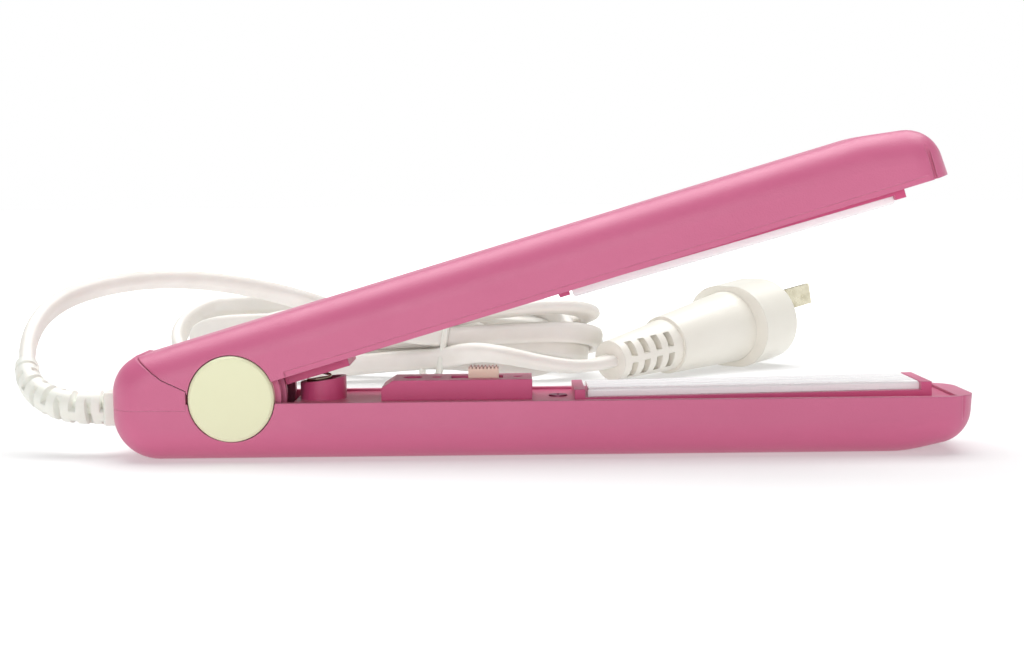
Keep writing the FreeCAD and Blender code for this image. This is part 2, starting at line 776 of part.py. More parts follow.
switch_body = outline_pad("switch_block",
                          [("switch_start", "-deck_depth"),
                           ("switch_start", "switch_top - 1.6"),
                           ("switch_start + switch_chamfer", "switch_top"),
                           ("switch_end", "switch_top"),
                           ("switch_end", "-deck_depth")],
                          "2 * switch_half")
switch_cuts = [box("switch_hollow", ("switch_start + 2.6", "switch_end - 1.2"),
                   ("-(switch_half - 1.2)", "switch_half - 1.2"),
                   ("-deck_depth - 1", "switch_top - switch_roof")),
               box("switch_slot", ("slot_start", "slot_end"), ("-slot_half", "slot_half"),
                   ("0", "switch_top + 1")),
               post("lamp_way", "lamp_x", "0", "lamp_radius + 0.2", ("0", "switch_top + 1"))]
for number, x in enumerate(("switch_screw_one", "switch_screw_two"), start=1):
    switch_cuts.append(post(f"switch_screw_way_{number}", x, "0", "switch_head + 0.1",
                            ("0", "switch_top + 1")))
subpart(cut("switch_housing_solid", switch_body, switch_cuts), "switch_housing")

module = cut("switch_module_solid",
             box("module_block", ("switch_start + 9.2", "switch_end - 1.4"), ("-4.4", "4.4"),
                 ("-deck_depth", "0.3")),
             [post(f"module_way_{number}", x, "0", "switch_pin + 0.05",
                   ("-deck_depth - 1", "1"))
              for number, x in enumerate(("switch_screw_one", "switch_screw_two"), start=1)])
subpart(module, "switch_module")

knob_pieces = [box("knob_block", ("knob_start", "knob_start + knob_length"),
                   ("-knob_half", "knob_half"), ("0.5", "knob_top - knob_rib")),
               box("knob_skirt", ("knob_start - 0.8", "knob_start + knob_length + 1.8"),
                   ("-skirt_half", "skirt_half"), ("0.4", "switch_top - switch_roof - 0.1"))]
KNOB_RIBS = 8
for number in range(KNOB_RIBS):
    start = f"knob_start + 0.3 + {number} * (knob_length - 1) / {KNOB_RIBS - 1}"
    knob_pieces.append(box(f"knob_rib_{number + 1}", (start, f"{start} + knob_rib"),
                           ("-knob_half", "knob_half"),
                           ("knob_top - knob_rib - 0.2", "knob_top")))
subpart(fuse("switch_knob_solid", knob_pieces), "switch_knob")

screws = []
for number, x in enumerate(("switch_screw_one", "switch_screw_two"), start=1):
    screws.append(fuse(f"switch_screw_{number}",
                       [post(f"switch_screw_shank_{number}", x, "0", "switch_pin",
                             ("-deck_depth - 1.1", "0.6")),
                        post(f"switch_screw_head_{number}", x, "0", "switch_head",
                             ("0.3", "1.3"))]))
screw_group = doc.addObject("Part::Compound", "switch_screw_group")
screw_group.Links = screws
subpart(screw_group, "switch_screws")

dome = doc.addObject("Part::Sphere", "lamp_dome")
bind(dome, "Radius", "lamp_radius")
dome.Angle1 = 0
bind(dome, "Placement.Base.x", "lamp_x")
bind(dome, "Placement.Base.z", "switch_top - lamp_radius - lamp_sink")
subpart(fuse("lamp_solid",
             [dome, post("lamp_stem", "lamp_x", "0", "lamp_radius",
                         ("-deck_depth", "switch_top - lamp_radius - lamp_sink"))]),
        "indicator_lamp")

lead_rods = []
for number, y in enumerate(("-lead_offset", "lead_offset"), start=1):
    lead_rods.append(rod(f"lead_{number}", ("-rear_reach + 4.5", "heater_start - 1"), y,
                         "-lead_depth", "lead_radius"))
leads = doc.addObject("Part::Compound", "lead_group")
leads.Links = lead_rods
subpart(leads, "supply_leads")
fuse_rod = rod("fuse_rod", ("plate_start + 1.5", "heater_start - 2.5"), "0",
               "-fuse_depth", "fuse_radius")
fuse_group = doc.addObject("Part::Compound", "fuse_group")
fuse_group.Links = [fuse_rod]
subpart(fuse_group, "thermal_fuse")


# ---------------------------------------------------------------- strain relief

def arc_place(item, angle):
    """Set a piece drawn along +X on the boot's bend, at an angle along the sweep."""
    bind(item, "Placement",
         f"placement(vector(-boot_bend * sin({angle}); 0; boot_bend - boot_bend * cos({angle}));"
         f" rotation(vector(0; 1; 0); {angle} - 90))")


bend = doc.addObject("Part::Torus", "boot_bend_core")
bind(bend, "Radius1", "boot_bend")
bind(bend, "Radius2", "boot_core")
bind(bend, "Angle3", "boot_sweep")
bind(bend, "Placement",
     "placement(vector(0; 0; boot_bend); rotation(vector(1; 0; 0); 90)"
     " * rotation(vector(0; 0; 1); -90 - boot_sweep))")
segments = [bend, rod("boot_straight", ("-0.1", "boot_run"), "0", "0", "boot_core")]
RINGS = 6
for number in range(RINGS):
    segment = doc.addObject("Part::Cylinder", f"boot_ring_{number + 1}")
    bind(segment, "Radius", f"boot_ring_radius - {number} * boot_ring_taper")
    bind(segment, "Height", "boot_ring_length")
    arc_place(segment, f"({number} * (boot_sweep - 8) / {RINGS - 1})")
    segments.append(segment)
bent_boot = fuse("bent_boot", segments)
bind(bent_boot, "Placement",
     "placement(vector(-rear_reach - seat_gap - collar_block - boot_run; 0; -boot_lift);"
     " rotation(vector(1; 0; 0); -boot_lean))")
block_face = "-rear_reach - seat_gap"
relief = fuse("relief_solid",
              [bent_boot,
               box("relief_block", (f"{block_face} - collar_block", block_face),
                   ("-collar_height / 2", "collar_height / 2"),
                   ("-boot_lift - collar_height / 2", "-boot_lift + collar_height / 2")),
               box("relief_neck", (f"{block_face} - 0.5", "-rear_reach + wall + 0.5"),
                   ("-relief_neck", "relief_neck"),
                   ("-boot_lift - relief_neck", "-boot_lift + relief_neck")),
               box("relief_flange", ("-rear_reach + wall + 0.35", "-rear_reach + wall + 2"),
                   ("-relief_flange", "relief_flange"),
                   ("-boot_lift - relief_flange", "-boot_lift + relief_neck - 0.6"))])
subpart(relief, "strain_relief")


# ---------------------------------------------------------------- cord and plug

def boot_exit():
    """Where the cord leaves the strain relief, and which way it points."""
    sweep = math.radians(SIZES["boot_sweep"])
    lean = math.radians(SIZES["boot_lean"])
    bend_radius = SIZES["boot_bend"]
    rise = bend_radius * (1 - math.cos(sweep))
    start = FreeCAD.Vector(
        SIZES["pivot_x"] - SIZES["rear_reach"] - SIZES["seat_gap"]
        - SIZES["collar_block"] - SIZES["boot_run"] - bend_radius * math.sin(sweep),
        rise * math.sin(lean),
        SIZES["pivot_z"] - SIZES["boot_lift"] + rise * math.cos(lean))
    heading = FreeCAD.Vector(-math.cos(sweep), math.sin(sweep) * math.sin(lean),
                             math.sin(sweep) * math.cos(lean))
    return start, heading


def plug_axis():
    yaw = math.radians(SIZES["plug_yaw"])
    pitch = math.radians(SIZES["plug_pitch"])
    return FreeCAD.Vector(math.cos(yaw) * math.cos(pitch), math.sin(yaw) * math.cos(pitch),
                          math.sin(pitch))


def route_wire(label, points):
    """Straight runs joined by tangent arcs, with each arc's radius printed."""
    edges = []
    at = points[0]
    for before, corner, after in zip(points, points[1:], points[2:]):
        into = (corner - before).normalize()
        out = (after - corner).normalize()
        turn = into.getAngle(out)
        back = 0.45 * min((corner - before).Length, (after - corner).Length)
        radius = back / math.tan(turn / 2)
        print(f"{label}: turn {math.degrees(turn):.0f} deg, radius {radius:.1f} mm")
        first = corner - into * back
        last = corner + out * back
        inward = (out - into).normalize()
        middle = corner + inward * (radius / math.cos(turn / 2) - radius)
        edges.append(Part.LineSegment(at, first).toShape())
        edges.append(Part.Arc(first, middle, last).toShape())
        at = last
    edges.append(Part.LineSegment(at, points[-1]).toShape())
    return Part.Wire(edges)


def cord_tube(label, points):
    """A round tube along a route."""
    wire = route_wire(label, points)
    heading = (points[1] - points[0]).normalize()
    radius = SIZES["cord_diameter"] / 2
    section = Part.Wire([Part.Circle(points[0], heading, radius).toShape()])
    tube = wire.makePipeShell([section], True, True)
    share = tube.Volume / (math.pi * radius ** 2 * wire.Length)
    print(f"{label}: length {wire.Length:.1f} mm, volume share {share:.3f}")
    item = doc.addObject("Part::Feature", label + "_tube")
    item.Shape = tube
    item.Placement = FreeCAD.Placement()
    free_subpart(item, label)


leave, heading = boot_exit()
cord_tube("cord_lead", [
    leave,
    leave + heading * SIZES["lead_run_out"],
    FreeCAD.Vector(-99, 64, 35),
    FreeCAD.Vector(-70, 98, 25.5),
    FreeCAD.Vector(-44, SIZES["hank_near"] + 0.5, 16),
])
plug_start = FreeCAD.Vector(SIZES["plug_x"], SIZES["plug_y"], SIZES["plug_z"])
cord_tube("cord_tail", [
    FreeCAD.Vector(-23.5, 125.2, 8),
    FreeCAD.Vector(-16.5, 119.6, 9.6),
    FreeCAD.Vector(-8, 114.2, 9.2),
    FreeCAD.Vector(3.2, 112.1, 6.8),
    plug_start - plug_axis() * SIZES["tail_run_in"],
    plug_start,
])

hank_body = outline_pad("hank_block",
                        [("hank_start", "0.05"), ("hank_end", "0.05"),
                         ("hank_end", "hank_height"), ("hank_start", "hank_height")],
                        "hank_far - hank_near")
doc.recompute()
round_edges(hank_body, "hank_end_round", lambda edge: (
    abs(edge.Vertexes[0].Point.x - edge.Vertexes[-1].Point.x) < 0.01
    and abs(edge.Vertexes[0].Point.y - edge.Vertexes[-1].Point.y) < 0.01
    and edge.Length > 5))
round_edges(hank_body, "hank_top_round", lambda edge: all(
    abs(vertex.Point.z - SIZES["hank_height"]) < 0.01 for vertex in edge.Vertexes))
bind(hank_body, "Placement.Base.y", "(hank_near + hank_far) / 2")
free_subpart(hank_body, "cord_hank")

tie = cut("tie_solid",
          box("tie_outside", ("tie_x - tie_width / 2", "tie_x + tie_width / 2"),
              ("hank_near - 0.6", "hank_far + 0.6"), ("0.01", "hank_height + 0.6")),
          [box("tie_inside", ("tie_x - tie_width", "tie_x + tie_width"),
               ("hank_near", "hank_far"), ("0.05", "hank_height"))])
free_subpart(tie, "cord_tie")

PLUG_PLACE = ("placement(vector(plug_x; plug_y; plug_z);"
              " rotation(vector(0; 0; 1); plug_yaw) * rotation(vector(0; -1; 0); plug_pitch))")


def on_plug(item, label):
    item.Label = label
    bind(item, "Placement", PLUG_PLACE)
    SUBPARTS.append(item)


SLOTS = 4
SLOT_SIDES = [("2.6", "9"), ("-9", "-2.6")]
SLOT_HEIGHTS = [("0.9", "5"), ("-5", "-0.9")]
boot_cuts = [box(f"plug_slot_{number}_{side}_{level}",
                 (f"slot_first + {number} * slot_pitch",
                  f"slot_first + {number} * slot_pitch + slot_length"),
                 depth_range, height_range)
             for number in range(SLOTS)
             for side, depth_range in enumerate(SLOT_SIDES)
             for level, height_range in enumerate(SLOT_HEIGHTS)]
on_plug(cut("plug_boot_solid",
            cone("plug_boot_cone", ("0", "boot_length"), "boot_start_radius",
                 "boot_end_radius"), boot_cuts), "plug_boot")

body_end = "boot_length + body_length"
face_x = f"{body_end} + flange_length"
flange_pieces = [rod(f"plug_flange_{number}", (body_end, face_x), shift, "0", "flange_radius")
                 for number, shift in enumerate(("-flange_shift", "flange_shift"), start=1)]
on_plug(fuse("plug_body_solid",
             [cone("plug_body_cone", ("boot_length", body_end), "body_start_radius",
                   "body_end_radius"),
              box("plug_flange_middle", (body_end, face_x), ("-flange_shift", "flange_shift"),
                  ("-flange_radius", "flange_radius"))] + flange_pieces), "plug_body")

prongs = []
for number, sign in enumerate((1, -1), start=1):
    blade = box(f"prong_{number}", ("0", "prong_length"),
                ("-prong_thick / 2", "prong_thick / 2"),
                ("-prong_width / 2", "prong_width / 2"))
    for axis in "xyz":
        blade.setExpression(f"Placement.Base.{axis}", None)
    bind(blade, "Placement",
         f"placement(vector({face_x}; 0; 0); rotation(vector(1; 0; 0); prong_roll))"
         f" * placement(vector(0; {sign} * prong_offset; 0);"
         f" rotation(vector(1; 0; 0); -{sign} * prong_angle))"
         f" * placement(vector(0; -prong_thick / 2; -prong_width / 2);"
         f" rotation(vector(0; 0; 1); 0))")
    prongs.append(blade)
prong_group = doc.addObject("Part::Compound", "prong_group")
prong_group.Links = prongs
on_plug(prong_group, "plug_pins")


# ---------------------------------------------------------------- write

doc.recompute()
for item in doc.Objects:
    if "Invalid" in item.State or "Error" in item.State:
        raise ValueError(f"{item.Label} did not build: {item.State}")
os.makedirs("parts", exist_ok=True)
for item in SUBPARTS:
    if item.Shape.isNull() or not item.Shape.isValid():
        raise ValueError(f"{item.Label} has no valid shape")
    item.Shape.exportStep(f"parts/{item.Label}.step")
    reach = item.Shape.BoundBox
    print(f"{item.Label}: {len(item.Shape.Solids)} solids, volume {item.Shape.Volume:.1f},"
          f" X {reach.XMin:.1f} {reach.XMax:.1f}, Y {reach.YMin:.1f} {reach.YMax:.1f},"
          f" Z {reach.ZMin:.2f} {reach.ZMax:.1f}")
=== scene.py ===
"""The looks of a mini hair straightener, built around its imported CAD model."""
import json
import math

import bmesh
import bpy
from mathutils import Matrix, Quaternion, Vector

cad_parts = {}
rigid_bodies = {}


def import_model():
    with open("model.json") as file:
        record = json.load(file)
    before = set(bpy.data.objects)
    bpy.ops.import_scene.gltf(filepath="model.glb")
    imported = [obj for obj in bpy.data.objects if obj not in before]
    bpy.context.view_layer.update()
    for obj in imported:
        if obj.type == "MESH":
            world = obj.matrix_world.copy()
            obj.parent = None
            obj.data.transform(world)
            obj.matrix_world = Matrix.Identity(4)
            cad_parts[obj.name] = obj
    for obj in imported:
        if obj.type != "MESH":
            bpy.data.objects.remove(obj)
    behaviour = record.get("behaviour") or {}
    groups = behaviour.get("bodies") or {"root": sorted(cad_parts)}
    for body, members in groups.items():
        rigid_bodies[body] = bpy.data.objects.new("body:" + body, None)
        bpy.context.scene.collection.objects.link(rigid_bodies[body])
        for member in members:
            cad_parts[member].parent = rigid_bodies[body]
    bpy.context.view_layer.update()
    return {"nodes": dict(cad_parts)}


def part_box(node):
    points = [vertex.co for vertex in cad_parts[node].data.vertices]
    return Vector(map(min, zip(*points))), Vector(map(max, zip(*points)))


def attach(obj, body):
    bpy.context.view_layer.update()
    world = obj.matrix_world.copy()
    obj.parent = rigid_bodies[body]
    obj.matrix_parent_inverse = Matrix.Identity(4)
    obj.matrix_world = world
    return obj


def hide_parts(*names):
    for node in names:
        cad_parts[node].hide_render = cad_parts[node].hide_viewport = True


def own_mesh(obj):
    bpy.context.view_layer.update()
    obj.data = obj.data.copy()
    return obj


for item in list(bpy.data.objects):
    bpy.data.objects.remove(item)

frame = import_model()
nodes = frame["nodes"]
MM = 0.001


def mm(*values):
    """A point given in millimetres, in metres."""
    return Vector(values) * MM


def placed(name, data):
    """A new object for a mesh, curve, camera or light, put in the scene."""
    made = bpy.data.objects.new(name, data)
    bpy.context.scene.collection.objects.link(made)
    return made


# ---------------------------------------------------------------- camera

CAMERA_PLACE = mm(-5.6, -350, 54.7)
CAMERA_PITCH = math.radians(-4.61)
CAMERA_ROLL = math.radians(-0.6)
SENSOR_WIDTH = 36
LENS_LENGTH = 58.4
VIEW_NEAR, VIEW_FAR = 0.01, 30

camera_data = bpy.data.cameras.new("camera")
camera_data.sensor_width = SENSOR_WIDTH
camera_data.lens = LENS_LENGTH
camera_data.clip_start = VIEW_NEAR
camera_data.clip_end = VIEW_FAR
camera = placed("camera", camera_data)
camera.location = CAMERA_PLACE
camera.rotation_mode = "QUATERNION"
camera.rotation_quaternion = (Quaternion((1, 0, 0), math.pi / 2 + CAMERA_PITCH)
                              @ Quaternion((0, 0, 1), CAMERA_ROLL))
bpy.context.scene.camera = camera


# ---------------------------------------------------------------- materials

DISPLAY_GAMMA = 2.2
RUBBED_SHINE = 1.25

# The Mix node's sockets for colours, by number because its other kinds use the same names.
MIX_FACTOR, MIX_FIRST, MIX_SECOND, MIX_RESULT = 0, 6, 7, 2


class Finish:
    """A procedural material whose patterns are laid out in the object's own metres."""

    def __init__(self, name):
        self.material = bpy.data.materials.new(name)
        self.material.use_nodes = True
        self.tree = self.material.node_tree
        self.shader = self.tree.nodes["Principled BSDF"]
        self.place = self.add("ShaderNodeTexCoord").outputs["Object"]

    def add(self, kind, **values):
        """A new node; values are its sockets by name, as a number, a colour or a link."""
        node = self.tree.nodes.new(kind)
        for key, given in values.items():
            self.put(node.inputs[key.replace("_", " ")], given)
        return node

    def put(self, socket, given):
        """Link a socket to another, or set its value."""
        if isinstance(given, bpy.types.NodeSocket):
            self.tree.links.new(given, socket)
        else:
            socket.default_value = given

    def stretched(self, along):
        """The place, with each axis scaled."""
        return self.add("ShaderNodeMapping", Vector=self.place, Scale=along).outputs["Vector"]

    def noise(self, scale, detail=3.0, place=None):
        """Soft noise with this many features to a metre."""
        return self.add("ShaderNodeTexNoise", Vector=place or self.place, Scale=scale,
                        Detail=detail).outputs["Fac"]

    def ramp(self, fac, low, high, start=0.3, end=0.7):
        """Two colours or grey levels, blended by a pattern from start to end."""
        node = self.add("ShaderNodeValToRGB", Fac=fac)
        for element, place, shade in zip(node.color_ramp.elements, (start, end), (low, high)):
            element.position = place
            element.color = shade if isinstance(shade, tuple) else (shade, shade, shade, 1)
        return node.outputs["Color"]

    def blend(self, fac, first, second):
        """The first colour where fac is 0 and the second where it is 1."""
        node = self.tree.nodes.new("ShaderNodeMix")
        node.data_type = "RGBA"
        self.put(node.inputs[MIX_FACTOR], fac)
        self.put(node.inputs[MIX_FIRST], first)
        self.put(node.inputs[MIX_SECOND], second)
        return node.outputs[MIX_RESULT]

    def product(self, first, second):
        """Two patterns multiplied."""
        node = self.tree.nodes.new("ShaderNodeMath")
        node.operation = "MULTIPLY"
        self.put(node.inputs[0], first)
        self.put(node.inputs[1], second)
        return node.outputs[0]

    def soft_edges(self, radius):
        """(normal with rounded edges, how near an edge a place is)."""
        rounded = self.add("ShaderNodeBevel", Radius=radius).outputs["Normal"]
        flat = self.add("ShaderNodeNewGeometry").outputs["Normal"]
        dot = self.tree.nodes.new("ShaderNodeVectorMath")
        dot.operation = "DOT_PRODUCT"
        self.put(dot.inputs[0], rounded)
        self.put(dot.inputs[1], flat)
        return rounded, self.ramp(dot.outputs["Value"], 1.0, 0.0, 0.8, 0.995)

    def bump(self, height, depth, strength, normal=None):
        """A normal that follows a height pattern, over another normal if one is given."""
        node = self.add("ShaderNodeBump", Height=height, Distance=depth, Strength=strength)
        if normal is not None:
            self.put(node.inputs["Normal"], normal)
        return node.outputs["Normal"]

    def set(self, **values):
        """Put values on the shader's sockets and return the finished material."""
        for key, given in values.items():
            self.put(self.shader.inputs[key.replace("_", " ")], given)
        return self.material


def tone(red, green, blue):
    """A colour given as screen values from 0 to 255, in the linear values that nodes use."""
    return tuple((channel / 255) ** DISPLAY_GAMMA for channel in (red, green, blue)) + (1.0,)


def moulded(name, colour, shade, wear, grain=3200, grain_depth=0.00008, rough=(0.4, 0.5),
            edge=0.0004, coat=0.0):
    """Moulded plastic: a fine grain, faint flow marks, and edges rubbed a little paler."""
    finish = Finish(name)
    normal, near_edge = finish.soft_edges(edge)
    flow = finish.noise(38, 4, finish.stretched((0.5, 1.4, 1.4)))
    body = finish.blend(finish.ramp(flow, 0.0, 1.0), colour, shade)
    worn = finish.product(near_edge, finish.noise(420, 5))
    base = finish.blend(worn, body, wear)
    grains = finish.noise(grain, 2)
    return finish.set(
        Base_Color=base,
        Roughness=finish.ramp(finish.noise(150, 4), rough[0], rough[1]),
        Normal=finish.bump(grains, grain_depth, 0.6, normal),
        Coat_Weight=coat, Coat_Roughness=0.25,
        Sheen_Weight=0.12, Sheen_Roughness=0.4)


def metal(name, colour, shade, along, rough=(0.22, 0.38)):
    """Metal with fine lines drawn along one way and a few darker patches."""
    finish = Finish(name)
    normal, near_edge = finish.soft_edges(0.00025)
    lines = finish.noise(900, 3, finish.stretched(along))
    stains = finish.noise(260, 4)
    base = finish.blend(finish.ramp(stains, 0.0, 1.0, 0.45, 0.75), colour, shade)
    polished = tuple(min(1, RUBBED_SHINE * channel) for channel in colour)
    return finish.set(
        Base_Color=finish.blend(near_edge, base, polished),
        Metallic=1.0,
        Roughness=finish.ramp(lines, rough[0], rough[1]),
        Normal=finish.bump(lines, 0.00002, 0.5, normal))


def ceramic_plate():
    """White glazed plate: a hard clear glaze with faint lines along its length."""
    finish = Finish("plate_glaze")
    normal, near_edge = finish.soft_edges(0.0003)
    lines = finish.noise(3600, 2, finish.stretched((0.04, 1, 1)))
    specks = finish.noise(2600, 2)
    base = finish.blend(finish.ramp(specks, 0.0, 1.0, 0.55, 0.75), tone(250, 250, 250),
                        tone(244, 245, 246))
    return finish.set(
        Base_Color=finish.blend(near_edge, base, tone(236, 237, 240)),
        Roughness=finish.ramp(lines, 0.2, 0.3),
        Normal=finish.bump(lines, 0.000004, 0.3, normal),
        Coat_Weight=1.0, Coat_Roughness=0.05)


def cord_jacket(name, colour, shade):
    """Soft PVC: waxy and faintly mottled, with a little light passing under its skin."""
    finish = Finish(name)
    mottle = finish.noise(90, 4)
    dust = finish.noise(1500, 3)
    base = finish.blend(finish.ramp(mottle, 0.0, 1.0), colour, shade)
    return finish.set(
        Base_Color=base,
        Roughness=finish.ramp(mottle, 0.38, 0.52),
        Normal=finish.bump(dust, 0.00003, 0.4),
        Subsurface_Weight=0.12, Subsurface_Radius=(0.002, 0.0016, 0.0013),
        Subsurface_Scale=1.0, Coat_Weight=0.1, Coat_Roughness=0.3)


def lamp_lens():
    """Red tinted lens of the working lamp."""
    finish = Finish("lamp_lens")
    cloud = finish.noise(700, 3)
    base = finish.blend(finish.ramp(cloud, 0.0, 1.0), tone(196, 30, 44), tone(150, 14, 30))
    return finish.set(Base_Color=base, Roughness=finish.ramp(cloud, 0.08, 0.18),
                      Transmission_Weight=0.35, IOR=1.49, Coat_Weight=0.5)


def woven_pad():
    """Silicone backing pad with a fine woven face."""
    finish = Finish("pad_face")
    weave = finish.tree.nodes.new("ShaderNodeTexWave")
    finish.put(weave.inputs["Vector"], finish.place)
    weave.inputs["Scale"].default_value = 900
    weave.inputs["Distortion"].default_value = 1.5
    base = finish.blend(weave.outputs["Fac"], tone(205, 196, 186), tone(168, 158, 150))
    return finish.set(Base_Color=base, Roughness=finish.ramp(finish.noise(500), 0.7, 0.9),
                      Normal=finish.bump(weave.outputs["Fac"], 0.00005, 0.5))


def floor_paper():
    """White studio paper with a barely visible tooth, which glows more further off."""
    finish = Finish("floor_paper")
    tooth = finish.noise(900, 4)
    far_off = finish.tree.nodes.new("ShaderNodeVectorMath")
    far_off.operation = "LENGTH"
    finish.put(far_off.inputs[0], finish.place)
    glow = finish.ramp(far_off.outputs["Value"], 0.36, 1.0, 0.2, 0.6)
    base = finish.blend(finish.ramp(finish.noise(5, 3), 0.0, 1.0), (0.58, 0.58, 0.58, 1),
                        (0.61, 0.61, 0.61, 1))
    return finish.set(Base_Color=base, Roughness=finish.ramp(tooth, 0.75, 0.9),
                      Normal=finish.bump(tooth, 0.00003, 0.2), Specular_IOR_Level=0.2,
                      Emission_Color=(1, 1, 1, 1), Emission_Strength=glow)


SLOT_FINISHES = {
    "pink_shell": moulded("shell_pink", tone(207, 106, 142), tone(202, 100, 137),
                          tone(232, 148, 178), rough=(0.36, 0.46)),
    "pink_inner": moulded("inner_pink", tone(212, 86, 134), tone(204, 80, 127),
                          tone(226, 124, 162), rough=(0.34, 0.44)),
    "cream_cap": moulded("cap_cream", tone(236, 236, 198), tone(232, 232, 192),
                         tone(242, 242, 214), grain=5200, grain_depth=0.00002,
                         rough=(0.34, 0.42), coat=0.2),
    "heating_plate": ceramic_plate(),
    "heater_ceramic": moulded("heater_body", tone(214, 208, 196), tone(198, 190, 176),
                              tone(226, 222, 212), rough=(0.6, 0.75)),
    "backing_pad": woven_pad(),
    # Steel screw: its pink tones are a painted pink reflection of the shell around it, and
    # their darkness, darker patches included, is painted shade of the recess it sits in.
    "screw_steel": metal("screw_painted_pink_reflection_and_shade", tone(158, 96, 120), tone(116, 66, 86), (1, 1, 0.1),
                         rough=(0.35, 0.5)),
    "switch_module": moulded("switch_case", tone(58, 50, 56), tone(46, 40, 46),
                             tone(84, 76, 82), rough=(0.45, 0.6)),
    "switch_knob": moulded("knob_cream", tone(244, 222, 202), tone(240, 215, 194),
                           tone(250, 234, 218), rough=(0.4, 0.52), edge=0.0002),
    "lamp": lamp_lens(),
    "lead_insulation": cord_jacket("lead_jacket", tone(236, 232, 226), tone(222, 216, 210)),
    "fuse_case": metal("fuse_can", tone(186, 178, 160), tone(140, 130, 112), (0.1, 1, 1)),
    "cord_white": cord_jacket("cord_skin", tone(238, 234, 228), tone(230, 226, 219)),
    "boot_white": cord_jacket("boot_skin", tone(238, 238, 230), tone(229, 229, 219)),
    "hinge_steel": metal("pin_steel", tone(190, 190, 194), tone(150, 150, 154), (1, 0.1, 1)),
    "spring_steel": metal("spring_wire", tone(226, 214, 190), tone(190, 176, 150), (1, 1, 0.3),
                          rough=(0.3, 0.45)),
    "plug_white": moulded("plug_skin", tone(244, 241, 231), tone(238, 235, 224),
                          tone(248, 246, 238), rough=(0.3, 0.42), coat=0.15),
    "pin_brass": metal("pin_brass_face", tone(222, 216, 192), tone(186, 178, 150),
                       (0.08, 1, 1)),
}

for node in nodes.values():
    slot_name = node.data.materials[0].name
    node.data.materials.clear()
    node.data.materials.append(SLOT_FINISHES[slot_name])


# ---------------------------------------------------------------- helpers for pieces

def piece_of(name, bm, finish, body):
    """A mesh piece from bmesh data, riding on a CAD body."""
    bmesh.ops.recalc_face_normals(bm, faces=bm.faces)
    mesh = bpy.data.meshes.new(name)
    bm.to_mesh(mesh)
    bm.free()
    for face in mesh.polygons:
        face.use_smooth = True
    mesh.materials.append(SLOT_FINISHES[finish])
    made = placed(name, mesh)
    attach(made, body)
    return made


def nurbs(curve, points, tilts=None, cyclic=False):
    """Adds one smooth spline of order 3 to a curve; its points are in metres."""
    spline = curve.splines.new("NURBS")
    spline.points.add(len(points) - 1)
    for number, (made, point) in enumerate(zip(spline.points, points)):
        made.co = (*point, 1)
        if tilts:
            made.tilt = math.radians(tilts[number])
    spline.use_cyclic_u = cyclic
    spline.order_u = 3
    spline.use_endpoint_u = not cyclic
    spline.resolution_u = 10


def tube_wall(bm, rows):
    """Closed tube through rows of vertices, with flat ends."""
    around = len(rows[0])
    for first, second in zip(rows, rows[1:]):
        for turn in range(around):
            after = (turn + 1) % around
            bm.faces.new((first[turn], first[after], second[after], second[turn]))
    bm.faces.new(rows[0])
    bm.faces.new(rows[-1][::-1])


# ---------------------------------------------------------------- cord

CORD_WIDE = 6.0 * MM
CORD_THICK = 3.7 * MM
CORD_GROOVE = 0.25 * MM
GROOVE_SPREAD = 0.22
LOBE_POWER = 0.75
SECTION_STEPS = 28


def flat_section():
    """Outline of the flat twin cord: two rounded lobes with a shallow groove between them."""
    curve = bpy.data.curves.new("cord_section", "CURVE")
    curve.dimensions = "2D"
    spline = curve.splines.new("POLY")
    spline.points.add(SECTION_STEPS - 1)
    for number, point in enumerate(spline.points):
        angle = 2 * math.pi * number / SECTION_STEPS
        along = math.copysign(abs(math.sin(angle)) ** LOBE_POWER, math.sin(angle))
        across = math.copysign(abs(math.cos(angle)) ** LOBE_POWER, math.cos(angle))
        groove = CORD_GROOVE * math.exp(-(along / GROOVE_SPREAD) ** 2)
        half = CORD_THICK / 2 - groove
        point.co = (across * half, along * CORD_WIDE / 2, 0, 1)
    spline.use_cyclic_u = True
    section = placed("cord_section", curve)
    section.hide_render = True
    section.hide_viewport = True
    return section


# The route from the strain relief to the hank, and from the hank to the plug.
LEAD_START = (-111.56, 10.83, 17.68)
LEAD_ROUTE = [LEAD_START, (-116.6, 27, 29.4), (-97, 66, 35.2), (-69, 100, 29),
              (-44, 125.0, 16)]
LEAD_TILTS = [0, 25, 65, 60, 15]
PLUG_START = (22.5, 124, 6.2)
TAIL_ROUTE = [(-16.5, 120.6, 9.6), (-8, 114.2, 9.2), (3.2, 112.1, 6.8), (14.8, 116.3, 4.9),
              PLUG_START]
TAIL_TILTS = [30, 45, 65, 80, 90]

# Each strand of the hank as (y, z) where the tie holds it, front ones first.
TIE_X = -26
FRONT_SLOTS = [(131.6, 12.8), (131.8, 18.4), (135.6, 6.2), (135.6, 12.5), (131.4, 6.6)]
BACK_SLOTS = [(139.4, 6.2), (139.4, 18.8), (139.4, 12.5), (135.6, 18.8)]

# Each turn's ends as (reach in x, front strand, back strand, tilt).
RIGHT_ENDS = [(19.6, (126.6, 14.6), (157, 7.0), 0), (17.6, (128.2, 21.8), (157.5, 14.4), 70),
              (11.6, (129.5, 3.6), (157.5, 20.4), -8), (15.4, (131.2, 9.8), (155, 3.6), 8)]
LEFT_ENDS = [(-99.5, (127.5, 17.5), (157.5, 4.2), 0), (-105.2, (131.5, 3.8), (158, 21.2), 14),
             (-92.0, (129.5, 11.2), (156, 13.0), -8), (-85.5, (126.2, 3.6), (153, 17.0), 5)]
END_STEPS = 6

# Where the strands fan out from the tie, and how far towards the end's place they are there.
RIGHT_FAN = (-14, 0.45)
LEFT_FAN = (-44, 0.25)
LEFT_SPREAD = (-64, 0.8)


